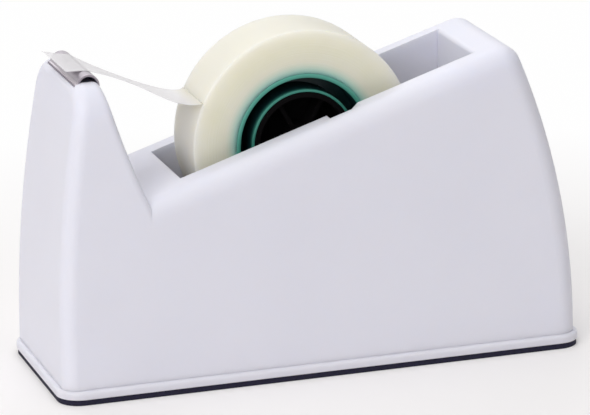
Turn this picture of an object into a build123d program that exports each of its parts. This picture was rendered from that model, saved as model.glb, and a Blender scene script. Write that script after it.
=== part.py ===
from build123d import *
from math import acos, atan2, cos, hypot, radians, sin, tan
import os

# Desk tape dispenser for a small roll of clear tape: a moulded ABS housing on a screwed-on base
# plate with an anti-slip pad, weighted inside, with a serrated steel cutter on its tower and a
# roll that turns on a steel axle held in two slanting slots.
# Millimetres. +X runs from the cutter to the rear, Z is up, Y is across, and Z = 0 is the table.

# ---- driving dimensions -------------------------------------------------------------------
# base plate and pad
base_length = 135.3
base_width = 51.0
base_corner_radius = 6.0
base_thickness = 2.1
ledge = 1.1                     # step of the base plate outside the housing
ledge_radius = 0.8              # round along the step's outer edge
pad_thickness = 1.5
pad_inset = 0.3
lip_height = 2.0                # rim on the base plate that finds the inside of the housing
lip_thickness = 1.5
lip_clearance = 0.2

# housing
wall = 2.4
side_draft = 3.2                # degrees that each long side leans inwards
edge_radius = 4.8
skirt_height = 4.4              # straight foot before the ends start to lean
tower_height = 77.4
tower_lean = 7.2                # how far the tower's front leans back at its top
tower_top_length = 6.3
tower_back_run = 9.9            # from the tower's top down to the valley, along X
tower_back_sag = 0.55           # hollow of the tower's back
tower_front_radius = 3.6
tower_back_radius = 1.8
tower_solid_top = 10.0          # solid plastic left under the cutter
shoulder_radius = 8.0
cutter_seat_depth = 1.1         # seat of the cutter below the cheeks beside it
valley_height = 47.8
deck_angle = 17.8
rear_lean = 14.6

# well for the roll, and the slots for its axle
well_setback = 10.1             # deck between the valley and the well
well_front_gap = 4.8            # clear space between the roll and the well, each way
well_rear_gap = 14.7
well_side_gap = 4.15
well_floor_gap = 3.5
well_wall = 2.0
well_corner_radius = 5.0
well_edge_radius = 1.2
slot_angle = 45.0
slot_depth = 2.8
slot_back_wall = 1.8

# roll of tape, its core, hub and axle
roll_diameter = 56.5
tape_width = 18.0
core_diameter = 34.7
core_rim = 1.1
core_bore = 25.4
core_bore_wall = 0.65
core_web = 1.2
hub_fit = 0.05                  # radial fit of the hub in the core
hub_wall = 1.3
hub_web = 1.8
hub_boss_diameter = 7.6
hub_ribs = 6
hub_rib_thickness = 1.0
hub_rib_setback = 2.5           # ribs stop short of the sleeve's rim
hub_end_gap = 1.4               # side play of the hub between the walls of the well
axle_height = 55.8
axle_diameter = 3.7
axle_clearance = 0.08           # radial, in the slots
axle_hub_clearance = 0.04       # radial, in the hub
axle_end_gap = 0.3
axle_chamfer = 0.3

# cutter
cutter_width = 26.2
cutter_thickness = 0.5
cutter_setback = 0.5            # teeth behind the tower's front edge
cutter_apron = 1.25             # flat strip between the teeth and the arch
arch_radius = 2.3               # inside
cutter_lip = 2.8                # rear edge folded down over the tower's back
cutter_clearance = 0.1
tooth_pitch = 1.3
tooth_depth = 0.8

# free end of the tape
strip_thickness = 0.25
strip_gap = 0.05                # above the arch
strip_peel_gap = 0.3            # from the turning roll
strip_peel_angle = 154.5        # degrees round the roll, from +X
strip_curl = 3.5                # length of the curl where the tape leaves the roll
strip_wrap_angle = 115.0        # where the tape leaves the arch towards the teeth
strip_overshoot = 4.0
strip_tear = 5.5                # corner lost where the tape tore across the teeth

# ballast and screws
ballast_height = 40.0
ballast_gap = 2.0
boss_diameter = 7.0
boss_height = 14.0
boss_end_gap = 3.0               # from the inside of the end walls
boss_embed = 0.8                # how far a boss runs into the side wall
screw_diameter = 2.9
screw_length = 9.5
screw_head_diameter = 5.4
screw_head_height = 1.3
screw_clearance = 0.05
screw_tip = 1.2

# ---- places that follow from them ---------------------------------------------------------
base_top = pad_thickness + base_thickness
skirt_top = base_top + skirt_height
front = ledge - base_length / 2
rear = base_length / 2 - ledge
half_width = base_width / 2 - ledge

tower_front = Vector(front + tower_lean, tower_height)
tower_rear = tower_front + Vector(tower_top_length, 0)
valley = Vector(tower_rear.X + tower_back_run, valley_height)
deck_slope = tan(radians(deck_angle))
rear_top = Vector(rear - rear_lean, valley.Y + (rear - rear_lean - valley.X) * deck_slope)

roll_radius = roll_diameter / 2
well_width = tape_width + 2 * well_side_gap
well_front = valley.X + well_setback
axle_x = well_front + well_front_gap + roll_radius
well_rear = axle_x + roll_radius + well_rear_gap
well_floor = axle_height - roll_radius - well_floor_gap
axle_radius = axle_diameter / 2
axle_centre = Vector(axle_x, 0, axle_height)
axle_plane = Plane(origin=axle_centre, x_dir=(1, 0, 0), z_dir=(0, -1, 0))
well_cut_top = 2 * tower_height

cutter_seat = tower_height - cutter_seat_depth
teeth_x = tower_front.X + cutter_setback
arch_x = teeth_x + cutter_apron + arch_radius
arch_outer_radius = arch_radius + cutter_thickness
lip_x = arch_x + arch_radius

inner_length = rear - front - 2 * wall
inner_width = 2 * half_width - 2 * wall
boss_grid = GridLocations(
    inner_length - 2 * boss_end_gap - boss_diameter,
    inner_width + 2 * boss_embed - boss_diameter,
    2,
    2,
)


def tower_outline(foot):
    """Tower seen from the side: leaning front, flat top and hollow back, down to a foot."""
    with BuildLine() as outline:
        Line((front, foot), (front, skirt_top))
        TangentArc((front, skirt_top), tower_front, tangent=(0, 1))
        Line(tower_front, tower_rear)
        back = SagittaArc(tower_rear, valley, -tower_back_sag)
        root = Line(valley, valley + (back % 1) * 2 * edge_radius) @ 1
        Polyline(root, (root.X, foot), (front, foot))
    return outline.line


def body_outline(foot):
    """Body seen from the side: sloping deck and leaning rear, starting inside the tower."""
    start = tower_rear.X
    start_height = valley.Y + (start - valley.X) * deck_slope
    with BuildLine() as outline:
        Polyline((rear, skirt_top), (rear, foot), (start, foot), (start, start_height), rear_top)
        TangentArc((rear, skirt_top), rear_top, tangent=(0, 1))
    return outline.line


def drafted_section(inset, high):
    """Cross-section of the housing, narrowing upwards, an inset inside its outer faces."""
    lean = tan(radians(side_draft))
    slant_inset = inset / cos(radians(side_draft))
    low = -inset
    low_half = half_width - slant_inset - (low - base_top) * lean
    high_half = half_width - slant_inset - (high - base_top) * lean
    with BuildLine() as outline:
        Polyline((-low_half, low), (low_half, low), (high_half, high), (-high_half, high), close=True)
    return outline.line


def upright_edges(part, shortest):
    """Edges that rise by at least a given height, from the front to the rear."""
    return part.edges().filter_by(lambda edge: edge.bounding_box().size.Z > shortest).sort_by(Axis.X)


def inner_block(inset, ceiling):
    """Space inside the housing, an inset inside its outer faces and no higher than a ceiling."""
    foot = base_top - inset
    with BuildPart() as block:
        with BuildSketch(Plane.XZ):
            make_face(tower_outline(foot).edges())
            make_face(body_outline(foot).edges())
            with Locations((0, ceiling + inset)):
                Rectangle(
                    2 * base_length, base_length,
                    align=(Align.CENTER, Align.MIN), mode=Mode.SUBTRACT,
                )
            offset(amount=-inset)
        extrude(amount=base_width, both=True)
        with BuildSketch(Plane.YZ):
            make_face(drafted_section(inset, base_length).edges())
        extrude(amount=base_length, both=True, mode=Mode.INTERSECT)
    return block.part


def well_block(grow):
    """The well for the roll, grown by a wall all round and open at the top."""
    with BuildPart() as block:
        with BuildSketch(Plane.XZ) as side:
            with BuildLine():
                Polyline(
                    (well_front - grow, well_floor - grow),
                    (well_rear + grow, well_floor - grow),
                    (well_rear + grow, well_cut_top),
                    (well_front - grow, well_cut_top),
                    close=True,
                )
            make_face()
            fillet(side.vertices().group_by(Axis.Y)[0], well_corner_radius + grow)
        extrude(amount=well_width / 2 + grow, both=True)
    return block.part


def slot_block(grow):
    """The slanting axle slots in both side walls, grown by a wall round and behind them."""
    radius = axle_radius + axle_clearance + grow
    with BuildPart() as block:
        with BuildSketch(axle_plane):
            Circle(radius)
            Rectangle(
                roll_diameter, 2 * radius,
                rotation=slot_angle, align=(Align.MIN, Align.CENTER),
            )
        extrude(amount=well_width / 2 + slot_depth + grow, both=True)
    return block.part


def finish(builder, name):
    """Name a finished piece and write it out."""
    builder.part.label = name
    export_step(builder.part, f"parts/{name}.step")


os.makedirs("parts", exist_ok=True)

# ---- housing: one ABS moulding, open underneath --------------------------------------------
with BuildPart() as tower:
    with BuildSketch(Plane.XZ):
        make_face(tower_outline(base_top).edges())
    extrude(amount=base_width, both=True)
    with BuildSketch(Plane.YZ) as section:
        make_face(drafted_section(0, tower_height).edges())
        fillet(section.vertices().group_by(Axis.Y)[-1], shoulder_radius)
    extrude(amount=base_length, both=True, mode=Mode.INTERSECT)
    fillet(upright_edges(tower.part, skirt_height / 2)[:2], tower_front_radius)
    fillet(upright_edges(tower.part, skirt_height / 2)[-6:], tower_back_radius)

with BuildPart() as body:
    with BuildSketch(Plane.XZ):
        make_face(body_outline(base_top).edges())
    extrude(amount=base_width, both=True)
    with BuildSketch(Plane.YZ):
        make_face(drafted_section(0, base_length).edges())
    extrude(amount=base_length, both=True, mode=Mode.INTERSECT)
    start_face = body.faces().sort_by(Axis.X)[0]
    foot_face = body.faces().sort_by(Axis.Z)[0]
    side_edges = body.edges().filter_by(Axis.Y, reverse=True) - start_face.edges() - foot_face.edges()
    rear_edge = body.edges().filter_by(Axis.Y).sort_by(Axis.Z)[-1]
    fillet(side_edges + [rear_edge], edge_radius)

cavity = inner_block(wall, tower_height - tower_solid_top)
well = well_block(0)
well_skin = well_block(well_wall)
slots = slot_block(0)
slot_backs = slot_block(slot_back_wall)

with BuildPart() as void:
    add(cavity)
    add(well_skin, mode=Mode.SUBTRACT)
    add(slot_backs, mode=Mode.SUBTRACT)
    with BuildSketch(Plane.XY.offset(base_top)):
        with boss_grid:
            Circle(boss_diameter / 2)
    extrude(amount=boss_height, mode=Mode.SUBTRACT)

with BuildPart() as housing:
    add(tower.part)
    add(body.part)
    add(void.part, mode=Mode.SUBTRACT)
    add(well, mode=Mode.SUBTRACT)
    across = housing.edges().filter_by(Axis.Y)
    well_rim = across.sort_by(lambda edge: abs(edge.center().X - well_rear))[:2]
    fillet(well_rim.sort_by(Axis.Z)[-1], well_edge_radius)
    add(slots, mode=Mode.SUBTRACT)
    # seat for the cutter between the cheeks, and a step for its lip down the tower's back
    seat_width = cutter_width + 2 * cutter_clearance
    with BuildSketch(Plane.XZ):
        with Locations((front, cutter_seat)):
            Rectangle(base_length, tower_height, align=(Align.MIN, Align.MIN))
        with Locations((lip_x - cutter_clearance, cutter_seat - cutter_lip - cutter_clearance)):
            Rectangle(wall + tower_back_run, tower_height, align=(Align.MIN, Align.MIN))
        with Locations((tower_rear.X + tower_back_run / 2, 0)):
            Rectangle(base_length, 2 * tower_height, align=(Align.MIN, Align.MIN), mode=Mode.SUBTRACT)
    extrude(amount=seat_width / 2, both=True, mode=Mode.SUBTRACT)
    # pilot holes for the base screws
    with BuildSketch(Plane.XY.offset(base_top)):
        with boss_grid:
            Circle(screw_diameter / 2 + screw_clearance)
    extrude(amount=screw_length, mode=Mode.SUBTRACT)
finish(housing, "housing")

# ---- base plate: ABS, closes the housing and shows as a step round its foot -----------------
with BuildPart() as base_plate:
    with BuildSketch(Plane.XY.offset(pad_thickness)):
        RectangleRounded(base_length, base_width, base_corner_radius)
    extrude(amount=base_thickness)
    fillet(base_plate.edges().group_by(Axis.Z)[-1], ledge_radius)
    with BuildSketch(Plane.XY.offset(base_top)):
        RectangleRounded(
            inner_length - 2 * lip_clearance, inner_width - 2 * lip_clearance, lip_thickness
        )
        Rectangle(
            inner_length - 2 * lip_clearance - 2 * lip_thickness,
            inner_width - 2 * lip_clearance - 2 * lip_thickness,
            mode=Mode.SUBTRACT,
        )
        with boss_grid:
            Rectangle(
                boss_diameter + 2 * lip_clearance, boss_diameter + 2 * lip_clearance,
                mode=Mode.SUBTRACT,
            )
    extrude(amount=lip_height)
    with BuildSketch(Plane.XY.offset(pad_thickness)):
        with boss_grid:
            Circle(screw_diameter / 2 + screw_clearance)
    extrude(amount=base_thickness, mode=Mode.SUBTRACT)
    with BuildSketch(Plane.XY.offset(pad_thickness)):
        with boss_grid:
            Circle(screw_head_diameter / 2 + screw_clearance)
    extrude(amount=screw_head_height, mode=Mode.SUBTRACT)
finish(base_plate, "base_plate")

# ---- anti-slip pad: foam rubber sheet under the base plate ----------------------------------
with BuildPart() as anti_slip_pad:
    with BuildSketch():
        RectangleRounded(
            base_length - 2 * pad_inset, base_width - 2 * pad_inset, base_corner_radius - pad_inset
        )
    extrude(amount=pad_thickness)
finish(anti_slip_pad, "anti_slip_pad")

# ---- base screws: four pan heads let into the underside of the base plate -------------------
with BuildPart() as base_screws:
    with BuildSketch(Plane.XY.offset(pad_thickness)):
        with boss_grid:
            Circle(screw_head_diameter / 2)
    extrude(amount=screw_head_height)
    with BuildSketch(Plane.XY.offset(pad_thickness)):
        with boss_grid:
            Circle(screw_diameter / 2)
    extrude(amount=screw_length)
    chamfer(base_screws.edges().group_by(Axis.Z)[-1], screw_tip, screw_tip / 2)
finish(base_screws, "base_screws")

# ---- ballast: cast block that stands on the base plate and wraps round the well --------------
ballast_core = inner_block(wall + ballast_gap, base_top + ballast_height)
ballast_well = well_block(well_wall + ballast_gap)
with BuildPart() as ballast_block:
    add(ballast_core)
    add(ballast_well, mode=Mode.SUBTRACT)
    with BuildSketch(Plane.XY.offset(base_top)):
        with boss_grid:
            Rectangle(boss_diameter + 2 * ballast_gap, boss_diameter + 2 * ballast_gap)
    extrude(amount=boss_height + ballast_gap, mode=Mode.SUBTRACT)
finish(ballast_block, "ballast_block")

# ---- cutter: one strip of spring steel, serrated in front, arched and lipped behind ----------
with BuildPart() as cutter:
    with BuildSketch(Plane.XZ):
        with BuildLine():
            Line((teeth_x, cutter_seat), (arch_x - arch_radius, cutter_seat))
            ThreePointArc(
                (arch_x - arch_radius, cutter_seat),
                (arch_x, cutter_seat + arch_radius),
                (lip_x, cutter_seat),
            )
            Line((lip_x, cutter_seat), (lip_x, cutter_seat - cutter_lip))
            offset(amount=cutter_thickness, side=Side.LEFT)
        make_face()
    extrude(amount=cutter_width / 2, both=True)
    tooth_count = round(cutter_width / tooth_pitch)
    tooth_width = cutter_width / tooth_count
    with BuildSketch(Plane.XY.offset(cutter_seat - cutter_thickness)):
        with GridLocations(0, tooth_width, 1, tooth_count + 1):
            with BuildLine():
                Polyline(
                    (teeth_x + tooth_depth, 0),
                    (teeth_x - tooth_depth, tooth_width),
                    (teeth_x - tooth_depth, -tooth_width),
                    close=True,
                )
            make_face()
    extrude(amount=3 * cutter_thickness, mode=Mode.SUBTRACT)
finish(cutter, "cutter_blade")

# ---- axle: plain steel pin that rests in the slots -------------------------------------------
axle_length = well_width + 2 * (slot_depth - axle_end_gap)
with BuildPart() as axle_pin:
    with BuildSketch(axle_plane):
        Circle(axle_radius)
    extrude(amount=axle_length / 2, both=True)
    chamfer(axle_pin.edges().filter_by(GeomType.CIRCLE), axle_chamfer)
finish(axle_pin, "axle_pin")

# ---- hub: black moulding that fills the core and turns on the axle ----------------------------
hub_radius = core_bore / 2 - hub_fit
hub_boss_length = well_width - 2 * hub_end_gap
hub_inner_radius = hub_radius - hub_wall
with BuildPart() as hub:
    with BuildSketch(axle_plane):
        Circle(hub_radius)
        Circle(hub_inner_radius, mode=Mode.SUBTRACT)
    extrude(amount=tape_width / 2, both=True)
    with BuildSketch(axle_plane):
        Circle(hub_radius - hub_wall / 2)
    extrude(amount=hub_web / 2, both=True)
    with BuildSketch(axle_plane):
        Circle(hub_boss_diameter / 2)
    extrude(amount=hub_boss_length / 2, both=True)
    with BuildSketch(axle_plane):
        with PolarLocations(0, hub_ribs):
            Rectangle(hub_radius - hub_wall / 2, hub_rib_thickness, align=(Align.MIN, Align.CENTER))
    extrude(amount=tape_width / 2 - hub_rib_setback, both=True)
    with BuildSketch(axle_plane):
        Circle(axle_radius + axle_hub_clearance)
    extrude(amount=hub_boss_length / 2, both=True, mode=Mode.SUBTRACT)
finish(hub, "hub")

# ---- core: double-walled ring of translucent green plastic ------------------------------------
bore_radius = core_bore / 2
core_radius = core_diameter / 2
with BuildPart() as tape_core:
    with BuildSketch(axle_plane):
        Circle(core_radius)
        Circle(core_radius - core_rim, mode=Mode.SUBTRACT)
        Circle(bore_radius + core_bore_wall)
        Circle(bore_radius, mode=Mode.SUBTRACT)
    extrude(amount=tape_width / 2, both=True)
    with BuildSketch(axle_plane):
        Circle(core_radius - core_rim / 2)
        Circle(bore_radius + core_bore_wall / 2, mode=Mode.SUBTRACT)
    extrude(amount=core_web / 2, both=True)
finish(tape_core, "tape_core")

# ---- roll: the wound tape --------------------------------------------------------------------
with BuildPart() as tape_roll:
    with BuildSketch(axle_plane):
        Circle(roll_radius)
        Circle(core_radius, mode=Mode.SUBTRACT)
    extrude(amount=tape_width / 2, both=True)
finish(tape_roll, "tape_roll")

# ---- strip: the free end, from the roll over the arch to the teeth ----------------------------
wrap_radius = arch_outer_radius + strip_gap
wrap_angle = radians(strip_wrap_angle)
arch_centre = Vector(arch_x, cutter_seat)
peel_radius = roll_radius + strip_peel_gap
peel_angle = radians(strip_peel_angle)
peel = Vector(axle_x + peel_radius * cos(peel_angle), axle_height + peel_radius * sin(peel_angle))
curl_start = peel - Vector(strip_curl, 0)
reach = curl_start - arch_centre
leave_angle = atan2(reach.Y, reach.X) + acos(wrap_radius / hypot(reach.X, reach.Y))
wrap_front = arch_centre + Vector(cos(wrap_angle), sin(wrap_angle)) * wrap_radius
wrap_rear = arch_centre + Vector(cos(leave_angle), sin(leave_angle)) * wrap_radius
wrap_middle_angle = (wrap_angle + leave_angle) / 2
wrap_top = arch_centre + Vector(cos(wrap_middle_angle), sin(wrap_middle_angle)) * wrap_radius
strip_end = wrap_front - Vector(sin(wrap_angle), -cos(wrap_angle)) * strip_overshoot
with BuildPart() as tape_strip:
    with BuildSketch(Plane.XZ):
        with BuildLine():
            Line(strip_end, wrap_front)
            ThreePointArc(wrap_front, wrap_top, wrap_rear)
            Line(wrap_rear, curl_start)
            TangentArc(curl_start, peel, tangent=curl_start - wrap_rear)
            offset(amount=strip_thickness, side=Side.LEFT)
        make_face()
    extrude(amount=tape_width / 2, both=True)
    with BuildSketch(Plane.XY.offset(cutter_seat)):
        with BuildLine():
            Polyline(
                (strip_end.X - strip_tear, -tape_width),
                (strip_end.X + strip_tear, -tape_width / 2),
                (strip_end.X - strip_tear, tape_width / 2),
                close=True,
            )
        make_face()
    extrude(amount=arch_outer_radius * 2, mode=Mode.SUBTRACT)
finish(tape_strip, "tape_strip")
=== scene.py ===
from math import cos, pi, radians, sin

import bmesh
import bpy
from mathutils import Matrix, Vector
from mathutils.geometry import interpolate_bezier


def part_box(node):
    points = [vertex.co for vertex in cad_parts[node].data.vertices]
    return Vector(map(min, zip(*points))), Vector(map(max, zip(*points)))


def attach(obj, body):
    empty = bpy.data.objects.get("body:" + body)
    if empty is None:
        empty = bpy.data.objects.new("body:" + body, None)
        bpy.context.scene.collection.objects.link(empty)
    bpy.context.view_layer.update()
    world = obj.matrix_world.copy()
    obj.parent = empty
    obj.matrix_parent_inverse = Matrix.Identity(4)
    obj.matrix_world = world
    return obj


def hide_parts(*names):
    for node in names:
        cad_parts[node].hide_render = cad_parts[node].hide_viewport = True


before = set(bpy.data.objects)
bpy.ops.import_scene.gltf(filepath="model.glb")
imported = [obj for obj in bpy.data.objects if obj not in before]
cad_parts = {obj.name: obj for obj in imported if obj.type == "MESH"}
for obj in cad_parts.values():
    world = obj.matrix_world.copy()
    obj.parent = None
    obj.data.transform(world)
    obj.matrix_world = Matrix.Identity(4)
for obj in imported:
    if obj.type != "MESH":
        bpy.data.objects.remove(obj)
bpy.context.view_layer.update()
scene = bpy.context.scene
mm = 0.001

# ---- camera ----------------------------------------------------------------------------
# A long lens a metre off, looking down on the near side with the cutter's end turned a little
# towards it. Its heading and height are angles round the dispenser's middle.
camera_heading = radians(-17.38)
camera_height = radians(16.15)
camera_roll = radians(-1.11)
camera_distance = 0.99877
camera_target = Vector((0.00015, 0, 0.0366))

camera_data = bpy.data.cameras.new("camera")
camera_data.sensor_width = 36
camera_data.lens = 244.1
camera = bpy.data.objects.new("camera", camera_data)
scene.collection.objects.link(camera)
turn = (
    Matrix.Rotation(camera_heading, 4, "Z")
    @ Matrix.Rotation(pi / 2 - camera_height, 4, "X")
    @ Matrix.Rotation(camera_roll, 4, "Z")
)
camera.matrix_world = (
    Matrix.Translation(camera_target) @ turn @ Matrix.Translation((0, 0, camera_distance))
)
scene.camera = camera


# ---- table and light --------------------------------------------------------------------
# A sheet of white card in a pale room, under three large soft lamps.
# The card fades to plain white away from the dispenser and keeps its soft shadow.
card_half_width = 3.0
fade_starts = 80 * mm             # from the dispenser's middle
fade_ends = 220 * mm
plain_white_near = 0.18           # share of plain white where the fade starts
plain_white_far = 0.97
room_brightness = 0.32            # what the room sheds on the dispenser; seen, it is plain white
lamp_size = 0.9


def linear(hex_colour):
    """An sRGB hex colour as the linear RGBA that a shader takes."""
    channels = [int(hex_colour[i : i + 2], 16) / 255 for i in (0, 2, 4)]
    curve = [c / 12.92 if c <= 0.04045 else ((c + 0.055) / 1.055) ** 2.4 for c in channels]
    return (*curve, 1.0)


def add_node(tree, kind, inputs=None, **settings):
    """A node with its settings, and each input set to a value or linked from an output."""
    node = tree.nodes.new("ShaderNode" + kind)
    for name, value in settings.items():
        setattr(node, name, value)
    for name, value in (inputs or {}).items():
        if isinstance(value, bpy.types.NodeSocket):
            tree.links.new(value, node.inputs[name])
        else:
            node.inputs[name].default_value = value
    return node


def new_mesh_object(mesh_builder, name, material):
    """An object at the origin that holds a bmesh's faces, smooth but for its sharp edges."""
    mesh = bpy.data.meshes.new(name)
    mesh_builder.to_mesh(mesh)
    mesh_builder.free()
    mesh.shade_smooth()
    mesh.set_sharp_from_angle(angle=radians(40))
    mesh.materials.append(material)
    shown = bpy.data.objects.new(name, mesh)
    scene.collection.objects.link(shown)
    return shown


card = bpy.data.materials.new("white_card")
card.use_nodes = True
tree = card.node_tree
tree.nodes.clear()
place = add_node(tree, "TexCoord").outputs["Object"]
away = add_node(tree, "VectorMath", {0: place}, operation="LENGTH")
fade = add_node(
    tree,
    "MapRange",
    {
        "Value": away.outputs["Value"],
        "From Min": fade_starts,
        "From Max": fade_ends,
        "To Min": plain_white_near,
        "To Max": plain_white_far,
    },
)
seen = add_node(tree, "LightPath").outputs["Is Camera Ray"]
share = add_node(tree, "Math", {0: seen, 1: fade.outputs["Result"]}, operation="MULTIPLY")
paper = add_node(tree, "BsdfDiffuse", {"Color": linear("F9F6F5")})
plain_white = add_node(tree, "Emission", {"Color": (1, 1, 1, 1), "Strength": 1.0})
card_mix = add_node(
    tree, "MixShader", {0: share.outputs[0], 1: paper.outputs[0], 2: plain_white.outputs[0]}
)
add_node(tree, "OutputMaterial", {"Surface": card_mix.outputs[0]})

card_builder = bmesh.new()
bmesh.ops.create_grid(card_builder, x_segments=1, y_segments=1, size=card_half_width)
floor = new_mesh_object(card_builder, "floor", card)

world = bpy.data.worlds.new("room")
world.use_nodes = True
scene.world = world
tree = world.node_tree
tree.nodes.clear()
rays = add_node(tree, "LightPath")
camera_or_gloss = add_node(
    tree,
    "Math",
    {0: rays.outputs["Is Camera Ray"], 1: rays.outputs["Is Glossy Ray"]},
    operation="MAXIMUM",
)
seen_rays = add_node(
    tree,
    "Math",
    {0: camera_or_gloss.outputs[0], 1: rays.outputs["Is Transmission Ray"]},
    operation="MAXIMUM",
)
room_level = add_node(
    tree,
    "MapRange",
    {"Value": seen_rays.outputs[0], "To Min": room_brightness, "To Max": 1.0},
)
room = add_node(
    tree, "Background", {"Color": (1, 1, 1, 1), "Strength": room_level.outputs["Result"]}
)
add_node(tree, "OutputWorld", {"Surface": room.outputs[0]})

for lamp_name, lamp_place, lamp_power in (
    ("front_softbox", Vector((-0.8, -0.8, 0.6)), 7.9),
    ("overhead_softbox", Vector((0, 0, 1.2)), 4.7),
    ("far_softbox", Vector((0, 0.8, 0.9)), 3.6),
):
    lamp_data = bpy.data.lights.new(lamp_name, "AREA")
    lamp_data.size = lamp_size
    lamp_data.energy = lamp_power
    lamp = bpy.data.objects.new(lamp_name, lamp_data)
    scene.collection.objects.link(lamp)
    lamp.matrix_world = (
        Matrix.Translation(lamp_place)
        @ (lamp_place - camera_target).to_track_quat("Z", "Y").to_matrix().to_4x4()
    )


# ---- housing and base plate ---------------------------------------------------------------
# White ABS mouldings: the housing is one shell, open underneath, and the base plate closes it.
# The mould's fine spark-eroded grain leaves them satin, and the white leans to lavender. A few
# grey specks of burnt resin lie in the surface.
abs_white = linear("E6E6F1")
abs_shade = linear("E0E0EC")
speck_grey = linear("BDB9C4")
grain_size = 0.35 * mm            # coarser than the real 0.05 mm grain, so that it shows
cloud_size = 30 * mm
speck_spacing = 19 * mm
speck_radius = 0.28 * mm
speck_middle = 0.6 * speck_radius   # past this a speck fades out
speck_strength = 0.7


def new_finish(name):
    """A material, its tree and shader, and the place of each point in the dispenser's frame."""
    material = bpy.data.materials.new(name)
    material.use_nodes = True
    tree = material.node_tree
    place = add_node(tree, "TexCoord").outputs["Object"]
    return material, tree, tree.nodes["Principled BSDF"], place


white_abs, tree, shader, place = new_finish("moulded_white_abs")
clouds = add_node(tree, "TexNoise", {"Vector": place, "Scale": 1 / cloud_size, "Detail": 2.0})
tone = add_node(
    tree,
    "Mix",
    {"Factor": clouds.outputs["Fac"], "A": abs_shade, "B": abs_white},
    data_type="RGBA",
)
cells = add_node(tree, "TexVoronoi", {"Vector": place, "Scale": 1 / speck_spacing})
speck = add_node(
    tree,
    "MapRange",
    {
        "Value": cells.outputs["Distance"],
        "From Min": speck_middle / speck_spacing,
        "From Max": speck_radius / speck_spacing,
        "To Min": speck_strength,
        "To Max": 0.0,
    },
)
surface = add_node(
    tree,
    "Mix",
    {"Factor": speck.outputs["Result"], "A": tone.outputs["Result"], "B": speck_grey},
    data_type="RGBA",
)
grain = add_node(tree, "TexNoise", {"Vector": place, "Scale": 1 / grain_size, "Detail": 2.0})
relief = add_node(
    tree, "Bump", {"Height": grain.outputs["Fac"], "Strength": 0.12, "Distance": 0.02 * mm}
)
shader.inputs["Roughness"].default_value = 0.42
shader.inputs["IOR"].default_value = 1.53
shader.inputs["Specular IOR Level"].default_value = 0.25   # the grain breaks up half the shine
shader.inputs["Subsurface Weight"].default_value = 0.4     # light seeps through the thin walls
shader.inputs["Subsurface Radius"].default_value = (0.8, 0.9, 1.0)
shader.inputs["Subsurface Scale"].default_value = 4 * mm
tree.links.new(surface.outputs["Result"], shader.inputs["Base Color"])
tree.links.new(relief.outputs["Normal"], shader.inputs["Normal"])
for node_name in ("housing", "base_plate"):
    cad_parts[node_name].data.materials[0] = white_abs


# ---- anti-slip pad ---------------------------------------------------------------------
# A sheet of dark navy foam rubber glued under the base plate. Its open cells leave it dull, with
# fine pits all over, each painted darker towards its middle as shade.
foam_navy = linear("181534")
painted_pit_shade = linear("0C0A1C")
foam_cell = 0.5 * mm

foam, tree, shader, place = new_finish("foam_rubber")
pits = add_node(tree, "TexVoronoi", {"Vector": place, "Scale": 1 / foam_cell})
# painted shade: darker in the middle of each pit
tone = add_node(
    tree,
    "Mix",
    {"Factor": pits.outputs["Distance"], "A": painted_pit_shade, "B": foam_navy},
    data_type="RGBA",
)
relief = add_node(
    tree, "Bump", {"Height": pits.outputs["Distance"], "Strength": 0.6, "Distance": 0.15 * mm}
)
shader.inputs["Roughness"].default_value = 0.9
shader.inputs["IOR"].default_value = 1.5
tree.links.new(tone.outputs["Result"], shader.inputs["Base Color"])
tree.links.new(relief.outputs["Normal"], shader.inputs["Normal"])
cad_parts["anti_slip_pad"].data.materials[0] = foam


# ---- ballast block ----------------------------------------------------------------------
# A block of cast cement that stands on the base plate and gives the dispenser its weight. Sand
# shows in it as lighter and darker grains, with a few air holes.
cement_light = linear("A5A19A")
cement_dark = linear("77736C")
sand_grain = 1.2 * mm
air_hole_spacing = 3.5 * mm

cement, tree, shader, place = new_finish("cast_cement")
sand = add_node(tree, "TexNoise", {"Vector": place, "Scale": 1 / sand_grain, "Detail": 6.0})
tone = add_node(
    tree,
    "Mix",
    {"Factor": sand.outputs["Fac"], "A": cement_dark, "B": cement_light},
    data_type="RGBA",
)
holes = add_node(tree, "TexVoronoi", {"Vector": place, "Scale": 1 / air_hole_spacing})
relief = add_node(
    tree, "Bump", {"Height": holes.outputs["Distance"], "Strength": 0.4, "Distance": 0.3 * mm}
)
shader.inputs["Roughness"].default_value = 0.88
shader.inputs["IOR"].default_value = 1.55
tree.links.new(tone.outputs["Result"], shader.inputs["Base Color"])
tree.links.new(relief.outputs["Normal"], shader.inputs["Normal"])
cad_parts["ballast_block"].data.materials[0] = cement


# ---- base screws and axle -----------------------------------------------------------------
# Four pan-head screws hold the base plate, and a plain pin carries the hub. All are mild steel
# with bright zinc plating, slightly blue and a little uneven in its shine.
zinc_light = linear("CCD0D6")
zinc_dull = linear("AEB2B9")
zinc_spangle = 0.8 * mm

zinc_plate, tree, shader, place = new_finish("zinc_plated_steel")
spangle = add_node(
    tree, "TexNoise", {"Vector": place, "Scale": 1 / zinc_spangle, "Detail": 3.0}
)
tone = add_node(
    tree,
    "Mix",
    {"Factor": spangle.outputs["Fac"], "A": zinc_dull, "B": zinc_light},
    data_type="RGBA",
)
gloss = add_node(
    tree, "MapRange", {"Value": spangle.outputs["Fac"], "To Min": 0.42, "To Max": 0.26}
)
shader.inputs["Metallic"].default_value = 1.0
tree.links.new(tone.outputs["Result"], shader.inputs["Base Color"])
tree.links.new(gloss.outputs["Result"], shader.inputs["Roughness"])
for node_name in ("base_screws", "axle_pin"):
    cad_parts[node_name].data.materials[0] = zinc_plate


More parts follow.
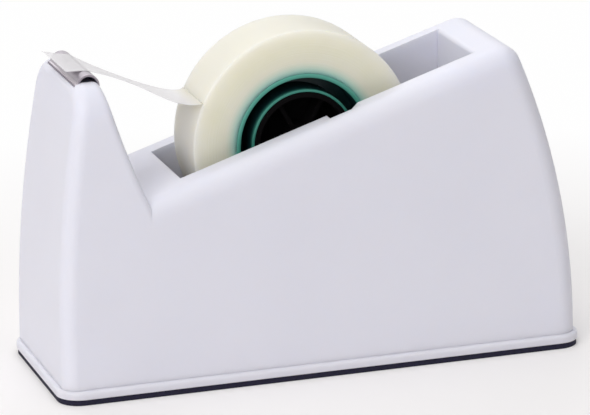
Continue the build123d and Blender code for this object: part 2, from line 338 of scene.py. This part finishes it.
# ---- cutter ------------------------------------------------------------------------------
# One strip of spring steel, pressed to shape: teeth in front, a short flat, an arch that the tape
# rests on, and a lip folded down the back of the tower. Rolling left fine lines that run across
# the dispenser, as its row of teeth does.
cutter_low, cutter_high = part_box("cutter_blade")
blade_thickness = 0.5 * mm
blade_edge_round = 0.06 * mm
arch_radius = 2.55 * mm           # to the middle of the strip
arch_x = cutter_high.x - arch_radius - blade_thickness / 2
arch_z = cutter_high.z - arch_radius - blade_thickness / 2
flat_length = arch_x - arch_radius - cutter_low.x
arch_length = pi * arch_radius
blade_length = flat_length + arch_length + arch_z - cutter_low.z
blade_rows = 60
tooth_count = 20
tooth_depth = 0.8 * mm
flanks = 2 * tooth_count          # two sloping sides to each tooth
steel_light = linear("A9A2A9")
# dark of the rolling lines, also used as the painted shade on the teeth's tips
rolled_dark_and_tip_shade = linear("8E8790")
painted_highlight_steel = linear("D2CDD2")  # painted highlight on the flat behind the teeth; their tips get painted shade
tip_shade_width = 0.5 * mm
rolling_line = 0.25 * mm          # wider than the real 0.02 mm lines, so that they show
rolling_line_length = 25 * rolling_line


def bend_blade(along):
    """Place, seen from the side, of a point of the flat strip once it is pressed."""
    if along < flat_length:
        return cutter_low.x + along, arch_z + blade_thickness / 2
    if along < flat_length + arch_length:
        turned = pi - (along - flat_length) / arch_radius
        return arch_x + arch_radius * cos(turned), arch_z + arch_radius * sin(turned)
    return arch_x + arch_radius, arch_z - (along - flat_length - arch_length)


# a square of side 1, which is then cut and bent to the strip
blade_builder = bmesh.new()
bmesh.ops.create_grid(blade_builder, x_segments=blade_rows, y_segments=flanks, size=0.5)
for vertex in blade_builder.verts:
    along = (vertex.co.x + 0.5) * blade_length
    across = vertex.co.y * (cutter_high.y - cutter_low.y)
    between_teeth = round((vertex.co.y + 0.5) * flanks) % 2 == 0
    if between_teeth and along < flat_length:
        along = tooth_depth + along * (1 - tooth_depth / flat_length)
    x, z = bend_blade(along)
    vertex.co = (x, across, z)
bmesh.ops.recalc_face_normals(blade_builder, faces=blade_builder.faces)

steel, tree, shader, place = new_finish("rolled_spring_steel")
stretched = add_node(
    tree,
    "VectorMath",
    {0: place, 1: (1 / rolling_line, 1 / rolling_line_length, 1 / rolling_line)},
    operation="MULTIPLY",
)
lines = add_node(
    tree, "TexNoise", {"Vector": stretched.outputs["Vector"], "Scale": 1.0, "Detail": 3.0}
)
rolled_tone = add_node(
    tree,
    "Mix",
    {"Factor": lines.outputs["Fac"], "A": rolled_dark_and_tip_shade, "B": steel_light},
    data_type="RGBA",
)
gloss = add_node(
    tree, "MapRange", {"Value": lines.outputs["Fac"], "To Min": 0.42, "To Max": 0.28}
)
from_front = add_node(tree, "SeparateXYZ", {"Vector": place}).outputs["X"]
# painted highlight on the flat just behind the teeth, fading back to the rolled tone
painted_highlight_fade = add_node(
    tree,
    "MapRange",
    {
        "Value": from_front,
        "From Min": cutter_low.x + tooth_depth,
        "From Max": cutter_low.x + flat_length,
    },
)
highlighted_tone = add_node(
    tree,
    "Mix",
    {
        "Factor": painted_highlight_fade.outputs["Result"],
        "A": painted_highlight_steel,
        "B": rolled_tone.outputs["Result"],
    },
    data_type="RGBA",
)
# painted shade on the teeth's tips
tip_shade_fade = add_node(
    tree,
    "MapRange",
    {
        "Value": from_front,
        "From Min": cutter_low.x + tip_shade_width / 2,
        "From Max": cutter_low.x + tip_shade_width,
    },
)
tone = add_node(
    tree,
    "Mix",
    {
        "Factor": tip_shade_fade.outputs["Result"],
        "A": rolled_dark_and_tip_shade,
        "B": highlighted_tone.outputs["Result"],
    },
    data_type="RGBA",
)
shader.inputs["Metallic"].default_value = 1.0
tree.links.new(tone.outputs["Result"], shader.inputs["Base Color"])
tree.links.new(gloss.outputs["Result"], shader.inputs["Roughness"])

blade = new_mesh_object(blade_builder, "pressed_blade", steel)
sheet = blade.modifiers.new("sheet", "SOLIDIFY")
sheet.thickness = blade_thickness
sheet.offset = 0.0
rounds = blade.modifiers.new("rounds", "BEVEL")
rounds.width = blade_edge_round
rounds.segments = 2
rounds.limit_method = "ANGLE"
rounds.angle_limit = radians(50)
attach(blade, "root")
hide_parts("cutter_blade")


# ---- hub ---------------------------------------------------------------------------------
# Black polystyrene moulding, pressed into the core by hand. Its pigment is carbon black and its
# surface is matt, so that it hardly shows its ribs.
hub_black = linear("040304")
hub_worn = linear("070506")
hub_grain = 0.5 * mm

black_plastic, tree, shader, place = new_finish("moulded_black_polystyrene")
grain = add_node(tree, "TexNoise", {"Vector": place, "Scale": 1 / hub_grain, "Detail": 3.0})
tone = add_node(
    tree,
    "Mix",
    {"Factor": grain.outputs["Fac"], "A": hub_black, "B": hub_worn},
    data_type="RGBA",
)
relief = add_node(
    tree, "Bump", {"Height": grain.outputs["Fac"], "Strength": 0.2, "Distance": 0.03 * mm}
)
shader.inputs["Roughness"].default_value = 0.75
shader.inputs["IOR"].default_value = 1.59
shader.inputs["Specular IOR Level"].default_value = 0.05
tree.links.new(tone.outputs["Result"], shader.inputs["Base Color"])
tree.links.new(relief.outputs["Normal"], shader.inputs["Normal"])
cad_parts["hub"].data.materials[0] = black_plastic


# ---- core ----------------------------------------------------------------------------------
# Two rings joined by a web at mid-width, moulded in dark green plastic that light passes through.
# Its rims are painted a glowing mint, brighter outward, and the channel between is painted
# near-black as shade.
roll_low, roll_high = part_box("tape_roll")
core_low, core_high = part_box("tape_core")
roll_centre = (roll_low + roll_high) / 2
roll_half_width = (roll_high.y - roll_low.y) / 2
core_radius = (core_high.z - core_low.z) / 2
core_rim = 1.1 * mm
bore_radius = 12.7 * mm
bore_wall = 0.65 * mm
web_thickness = 1.2 * mm
rim_round = 0.15 * mm
ring_steps = 180                  # facets round each ring
ring_bore = bore_radius + bore_wall
ring_inside = core_radius - core_rim
# painted light: a mint glow on the rims, brighter outward, and near-black painted shade down the
# channel
rim_painted_glow = linear("5FAC9B")
dim_painted_glow = linear("3B8576")
channel_painted_shade = linear("0F2A2D")
painted_glow_depth_outer = 0.5 * mm
painted_glow_depth_inner = 2.4 * mm
painted_glow_falloff = 2.2                # the higher, the closer to the rims the painted glow stays


def new_ring(profile, edge_round):
    """A ring turned about the roll's axis from a closed profile of (radius, across) corners."""
    ring = bmesh.new()
    corners = [ring.verts.new((radius, across, 0)) for radius, across in profile]
    ring.faces.new(corners)
    bmesh.ops.bevel(
        ring,
        geom=list(ring.verts),
        affect="VERTICES",
        offset=edge_round,
        segments=3,
        profile=0.5,
        material=-1,
    )
    bmesh.ops.delete(ring, geom=list(ring.faces), context="FACES_ONLY")
    bmesh.ops.spin(
        ring,
        geom=list(ring.verts) + list(ring.edges),
        cent=(0, 0, 0),
        axis=(0, 1, 0),
        angle=2 * pi,
        steps=ring_steps,
        use_merge=True,
    )
    bmesh.ops.remove_doubles(ring, verts=ring.verts, dist=1e-7)
    bmesh.ops.recalc_face_normals(ring, faces=ring.faces)
    bmesh.ops.translate(ring, verts=ring.verts, vec=roll_centre)
    return ring


def measure_from_axis(tree, place):
    """Each point's distance from the roll's axis, and how far across it lies from mid-width."""
    from_centre = add_node(tree, "VectorMath", {0: place, 1: roll_centre}, operation="SUBTRACT")
    split = add_node(tree, "SeparateXYZ", {"Vector": from_centre.outputs["Vector"]})
    flat = add_node(tree, "CombineXYZ", {"X": split.outputs["X"], "Z": split.outputs["Z"]})
    radius = add_node(tree, "VectorMath", {0: flat.outputs["Vector"]}, operation="LENGTH")
    return radius.outputs["Value"], split.outputs["Y"]


core_profile = [
    (bore_radius, -roll_half_width),
    (ring_bore, -roll_half_width),
    (ring_bore, -web_thickness / 2),
    (ring_inside, -web_thickness / 2),
    (ring_inside, -roll_half_width),
    (core_radius, -roll_half_width),
    (core_radius, roll_half_width),
    (ring_inside, roll_half_width),
    (ring_inside, web_thickness / 2),
    (ring_bore, web_thickness / 2),
    (ring_bore, roll_half_width),
    (bore_radius, roll_half_width),
]

green_plastic, tree, shader, place = new_finish("green_polystyrene_painted_glow")
radius, across = measure_from_axis(tree, place)
from_middle = add_node(tree, "Math", {0: across}, operation="ABSOLUTE")
# painted glow near the rims, fading into painted shade deeper in the channel
painted_glow_starts = add_node(
    tree,
    "MapRange",
    {
        "Value": radius,
        "From Min": ring_bore,
        "From Max": ring_inside,
        "To Min": roll_half_width - painted_glow_depth_inner,
        "To Max": roll_half_width - painted_glow_depth_outer,
    },
)
painted_glow_mask = add_node(
    tree,
    "MapRange",
    {
        "Value": from_middle.outputs[0],
        "From Min": painted_glow_starts.outputs["Result"],
        "From Max": roll_half_width,
    },
)
painted_glow_curve = add_node(
    tree, "Math", {0: painted_glow_mask.outputs["Result"], 1: painted_glow_falloff}, operation="POWER"
)
painted_glow_outward = add_node(
    tree, "MapRange", {"Value": radius, "From Min": ring_inside, "From Max": core_radius}
)
rim_painted_glow_tone = add_node(
    tree,
    "Mix",
    {"Factor": painted_glow_outward.outputs["Result"], "A": dim_painted_glow, "B": rim_painted_glow},
    data_type="RGBA",
)
tone = add_node(
    tree,
    "Mix",
    {"Factor": painted_glow_curve.outputs[0], "A": channel_painted_shade, "B": rim_painted_glow_tone.outputs["Result"]},
    data_type="RGBA",
)
shader.inputs["Roughness"].default_value = 0.35
shader.inputs["IOR"].default_value = 1.59
shader.inputs["Specular IOR Level"].default_value = 0.25
tree.links.new(tone.outputs["Result"], shader.inputs["Base Color"])

core = new_mesh_object(new_ring(core_profile, rim_round), "core_rings", green_plastic)
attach(core, "roll")
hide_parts("tape_core")


# ---- roll ----------------------------------------------------------------------------------
# Frosted acetate film wound on the core, about two hundred layers. Their edges make a milky cream
# side with faint rings, slightly stepped, and near the core a green light from it is painted on
# them.
roll_radius = (roll_high.z - roll_low.z) / 2
layer_step = 0.25 * mm            # rings as wide as about four layers, so that they show
ring_count = round((roll_radius - core_radius) / layer_step)
step_height = 0.012 * mm
layer_edge_round = 0.01 * mm
short_wave = 2.3                  # radians for each ring; two waves make the steps uneven
long_wave = 0.71
wave_offset = 1.0
worn_depth = 1.2 * mm             # fingers have worn the outer layers' edges round
worn_width = 0.3 * mm
worn_steps = 5
side_cream = linear("E3E1CC")
side_milk = linear("E9E7DA")
tread_cream = linear("E6E3D6")
fresh_layers = 4.5 * mm           # the outer layers are wound looser and look whiter
patch_size = 9 * mm
painted_core_light = linear("82D6C0")
painted_core_light_reach = 3.5 * mm
painted_core_light_falloff = 2.1                # the higher, the closer to the core the painted light stays

side_corners = []
for layer in range(ring_count + 1):
    radius_here = core_radius + (roll_radius - worn_depth - core_radius) * layer / ring_count
    wander = 0.5 + 0.5 * sin(short_wave * layer) * sin(long_wave * layer + wave_offset)
    inset = 0.0 if layer in (0, ring_count) else step_height * wander
    side_corners.append((radius_here, roll_half_width - inset))
for step in range(1, worn_steps + 1):
    turned = step / worn_steps * pi / 2
    worn_radius = roll_radius - worn_depth * (1 - sin(turned))
    side_corners.append((worn_radius, roll_half_width - worn_width * (1 - cos(turned))))
roll_profile = [(r, -y) for r, y in side_corners] + list(reversed(side_corners))

wound_film, tree, shader, place = new_finish("wound_acetate_film")
radius, _ = measure_from_axis(tree, place)
patches = add_node(tree, "TexNoise", {"Vector": place, "Scale": 1 / patch_size, "Detail": 3.0})
rings_at = add_node(tree, "Math", {0: radius, 1: 1 / layer_step}, operation="MULTIPLY")
rings = add_node(
    tree,
    "TexNoise",
    {"W": rings_at.outputs[0], "Scale": 1.0, "Detail": 2.0},
    noise_dimensions="1D",
)
milkiness = add_node(
    tree, "Math", {0: patches.outputs["Fac"], 1: rings.outputs["Fac"]}, operation="MULTIPLY"
)
milk_share = add_node(
    tree, "MapRange", {"Value": milkiness.outputs[0], "From Min": 0.08, "From Max": 0.46}
)
side = add_node(
    tree,
    "Mix",
    {"Factor": milk_share.outputs["Result"], "A": side_cream, "B": side_milk},
    data_type="RGBA",
)
outermost = add_node(
    tree,
    "MapRange",
    {"Value": radius, "From Min": roll_radius - fresh_layers, "From Max": roll_radius},
)
body_tone = add_node(
    tree,
    "Mix",
    {"Factor": outermost.outputs["Result"], "A": side.outputs["Result"], "B": tread_cream},
    data_type="RGBA",
)
# painted green light from the core, with some painted shade, on the innermost layers
painted_core_light_mask = add_node(
    tree,
    "MapRange",
    {
        "Value": radius,
        "From Min": core_radius,
        "From Max": core_radius + painted_core_light_reach,
        "To Min": 1.0,
        "To Max": 0.0,
    },
)
painted_core_light_curve = add_node(
    tree, "Math", {0: painted_core_light_mask.outputs["Result"], 1: painted_core_light_falloff}, operation="POWER"
)
tone = add_node(
    tree,
    "Mix",
    {"Factor": painted_core_light_curve.outputs[0], "A": body_tone.outputs["Result"], "B": painted_core_light},
    data_type="RGBA",
)
relief = add_node(
    tree, "Bump", {"Height": rings.outputs["Fac"], "Strength": 0.08, "Distance": 0.02 * mm}
)
shader.inputs["Roughness"].default_value = 0.55
shader.inputs["IOR"].default_value = 1.48
shader.inputs["Specular IOR Level"].default_value = 0.3
shader.inputs["Subsurface Weight"].default_value = 1.0     # light seeps deep into the layers
shader.inputs["Subsurface Radius"].default_value = (1.0, 0.95, 0.8)
shader.inputs["Subsurface Scale"].default_value = 7 * mm
tree.links.new(tone.outputs["Result"], shader.inputs["Base Color"])
tree.links.new(relief.outputs["Normal"], shader.inputs["Normal"])

wound = new_mesh_object(
    new_ring(roll_profile, layer_edge_round), "wound_tape_layers", wound_film
)
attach(wound, "roll")
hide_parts("tape_roll")


# ---- free end of the tape --------------------------------------------------------------------
# One layer of the film. It curls away from the roll, twists a little in the air, rests on the arch
# and reaches 1 to 2 mm past the teeth, with the ragged edge that they tore. Its frosted back
# scatters the light, so it looks white and what lies below shows through it only dimly.
film_thickness = 0.06 * mm
film_rows = 72
torn_rows = 10                    # of them, the rows from the torn end to the arch's crest
wrap_rows = 8                     # and those that lie on the back of the arch
film_columns = 28
tear_depth = 0.35 * mm
roll_gap = 0.04 * mm
peel_angle = radians(154.5)       # round the roll's axis, from the rear
peel_radius = roll_radius + roll_gap
peel = Vector(
    (
        roll_centre.x + peel_radius * cos(peel_angle),
        roll_centre.z + peel_radius * sin(peel_angle),
    )
)
crest = Vector((arch_x, cutter_high.z + film_thickness))
wrap_radius = crest.y - arch_z
before_crest = Vector((-1.3 * mm, 0.1 * mm))
film_white = linear("F6F2F5")
film_frost = linear("EAEAEC")
frost_size = 1.5 * mm
roll_shows_from = 3.5 * mm        # close to the roll its cream shows through the film


def film_edge(torn, leaves_at, belly, curl):
    """One edge of the film from the side: torn end, arch, then through the air to the roll."""
    front_part = interpolate_bezier(
        torn, torn.lerp(crest, 0.5), crest + before_crest, crest, torn_rows + 1
    )
    wrap_part = []
    for step in range(wrap_rows + 1):
        turned = pi / 2 + (leaves_at - pi / 2) * step / wrap_rows
        wrapped_x = arch_x + wrap_radius * cos(turned)
        wrapped_z = arch_z + wrap_radius * sin(turned)
        wrap_part.append(Vector((wrapped_x, wrapped_z)))
    leaving = Vector((sin(leaves_at), -cos(leaves_at)))
    air_rows = film_rows - torn_rows - wrap_rows
    rear_part = interpolate_bezier(
        wrap_part[-1], wrap_part[-1] + belly * leaving, peel - curl, peel, air_rows + 1
    )
    return front_part + wrap_part[1:] + rear_part[1:]


near_edge = film_edge(
    torn=crest + Vector((-4.6 * mm, 0.15 * mm)),
    leaves_at=radians(74),
    belly=17.0 * mm,
    curl=Vector((8.9 * mm, 0.9 * mm)),
)
far_edge = film_edge(
    torn=crest + Vector((-5.8 * mm, 1.2 * mm)),
    leaves_at=radians(54),
    belly=3.0 * mm,
    curl=Vector((2.0 * mm, 3.4 * mm)),
)

# a square of side 1 again, laid between the two edges
film_builder = bmesh.new()
bmesh.ops.create_grid(film_builder, x_segments=film_rows, y_segments=film_columns, size=0.5)
for vertex in film_builder.verts:
    row = round((vertex.co.x + 0.5) * film_rows)
    column = round((vertex.co.y + 0.5) * film_columns)
    seen_at = near_edge[row].lerp(far_edge[row], column / film_columns)
    tear = tear_depth if row == 0 and column % 2 else 0.0
    across = (2 * column / film_columns - 1) * roll_half_width
    vertex.co = (seen_at.x + tear, across, seen_at.y)
bmesh.ops.recalc_face_normals(film_builder, faces=film_builder.faces)

frosted_film, tree, shader, place = new_finish("frosted_acetate_film")
frost = add_node(tree, "TexNoise", {"Vector": place, "Scale": 1 / frost_size, "Detail": 4.0})
frost_tone = add_node(
    tree,
    "Mix",
    {"Factor": frost.outputs["Fac"], "A": film_frost, "B": film_white},
    data_type="RGBA",
)
to_roll = add_node(
    tree,
    "MapRange",
    {
        "Value": add_node(tree, "SeparateXYZ", {"Vector": place}).outputs["X"],
        "From Min": peel.x - roll_shows_from,
        "From Max": peel.x,
    },
)
tone = add_node(
    tree,
    "Mix",
    {"Factor": to_roll.outputs["Result"], "A": frost_tone.outputs["Result"], "B": tread_cream},
    data_type="RGBA",
)
shader.inputs["Alpha"].default_value = 0.62
shader.inputs["Roughness"].default_value = 0.45
shader.inputs["IOR"].default_value = 1.48
tree.links.new(tone.outputs["Result"], shader.inputs["Base Color"])

film = new_mesh_object(film_builder, "free_film", frosted_film)
film_sheet = film.modifiers.new("sheet", "SOLIDIFY")
film_sheet.thickness = film_thickness
film_sheet.offset = 0.0
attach(film, "root")
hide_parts("tape_strip")


# ---- colours ---------------------------------------------------------------------------------
# Colours are shown as they are written.
scene.view_settings.view_transform = "Standard"
